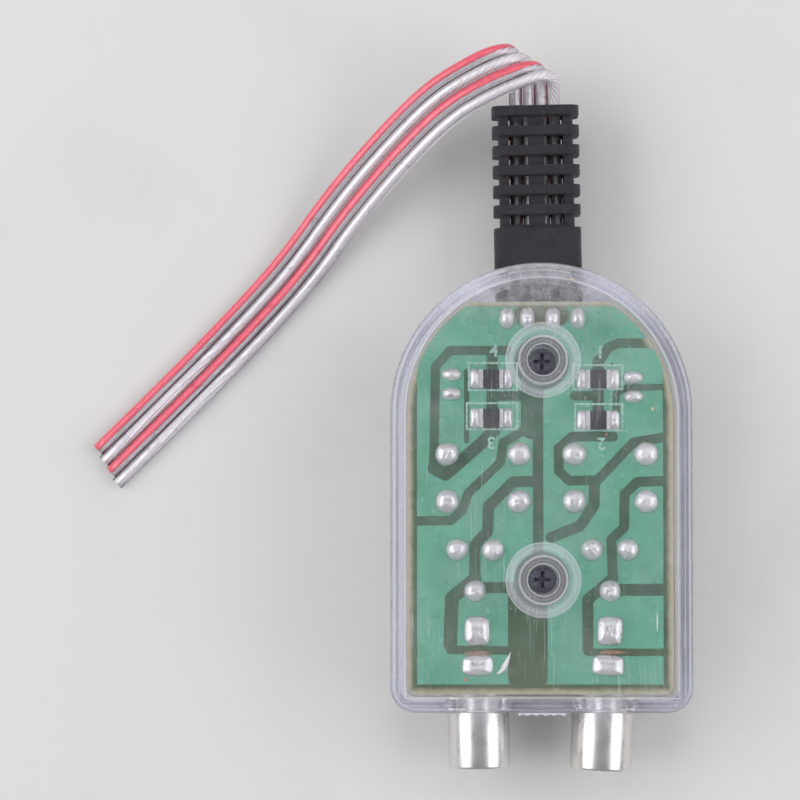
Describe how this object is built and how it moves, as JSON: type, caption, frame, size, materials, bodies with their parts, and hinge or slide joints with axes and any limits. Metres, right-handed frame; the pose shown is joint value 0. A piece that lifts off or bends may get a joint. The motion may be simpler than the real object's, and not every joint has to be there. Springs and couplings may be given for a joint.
{
  "type": "line output converter",
  "caption": "Speaker-level to line-level audio converter in a clear two-shell case with phono jacks, level trimmers and a flat cable.",
  "frame": {"origin": "middle of the flat back face on which the case lies", "axes": "+Z out of the clear front face, +Y towards the cable end, +X to the right of the front face"},
  "size_m": [0.0816, 0.0985, 0.022],
  "materials": {
    "clear_shell": "clear moulded plastic, lightly scratched",
    "black_steel": "black oxide",
    "rubber": "soft matte black rubber, slightly grey",
    "laminate": "green solder mask on bare laminate",
    "masked_copper": "light green solder mask over copper",
    "solder": "bright solder",
    "chip_body": "dark glaze",
    "core_steel": "varnished laminations",
    "black_plastic": "moulded",
    "winding_tape": "tape over the winding",
    "tinned_wire": "tinned",
    "trimmer_base": "pressed board",
    "trimmer_rotor": "moulded",
    "wiper_brass": "spring strip",
    "capacitor_sleeve": "shrink sleeve",
    "jack_plating": "nickel plating",
    "insulator_left": "white",
    "insulator_right": "red",
    "contact_plating": "tin plating",
    "wire_red": "clear sheath with a red stripe",
    "wire_clear": "clear sheath"
  },
  "bodies": {
    "case": {"front_shell": "clear_shell", "rear_shell": "clear_shell", "case_screw_upper": "black_steel", "case_screw_lower": "black_steel", "strain_relief": "rubber", "circuit_board": "laminate", "copper_tracks": "masked_copper", "solder_joints": "solder", "resistor_terminals": "solder", "resistor_1": "chip_body", "resistor_2": "chip_body", "resistor_3": "chip_body", "resistor_4": "chip_body", "transformer_left_core": "core_steel", "transformer_left_bobbin": "black_plastic", "transformer_left_winding": "winding_tape", "transformer_left_pins": "tinned_wire", "trimmer_left_base": "trimmer_base", "trimmer_left_pins": "tinned_wire", "capacitor_left": "capacitor_sleeve", "capacitor_left_leads": "tinned_wire", "jack_left_sleeve": "jack_plating", "jack_left_insulator": "insulator_left", "jack_left_contact": "contact_plating", "transformer_right_core": "core_steel", "transformer_right_bobbin": "black_plastic", "transformer_right_winding": "winding_tape", "transformer_right_pins": "tinned_wire", "trimmer_right_base": "trimmer_base", "trimmer_right_pins": "tinned_wire", "capacitor_right": "capacitor_sleeve", "capacitor_right_leads": "tinned_wire", "jack_right_sleeve": "jack_plating", "jack_right_insulator": "insulator_right", "jack_right_contact": "contact_plating", "cable_lead_1": "wire_red", "cable_wire_1": "wire_red", "cable_lead_2": "wire_clear", "cable_wire_2": "wire_clear", "cable_lead_3": "wire_red", "cable_wire_3": "wire_red", "cable_lead_4": "wire_clear", "cable_wire_4": "wire_clear"},
    "rotor_left": {"trimmer_left_rotor": "trimmer_rotor", "trimmer_left_wiper": "wiper_brass"},
    "rotor_right": {"trimmer_right_rotor": "trimmer_rotor", "trimmer_right_wiper": "wiper_brass"}
  },
  "joints": [
    {"name": "gain_left_turn", "type": "hinge", "parent": "case", "child": "rotor_left", "pos_m": [-0.0087, -0.01098, 0.0084], "axis": [0, 0, 1], "range_deg": [-105, 105]},
    {"name": "gain_right_turn", "type": "hinge", "parent": "case", "child": "rotor_right", "pos_m": [0.0093, -0.01098, 0.0084], "axis": [0, 0, 1], "range_deg": [-105, 105]}
  ]
}
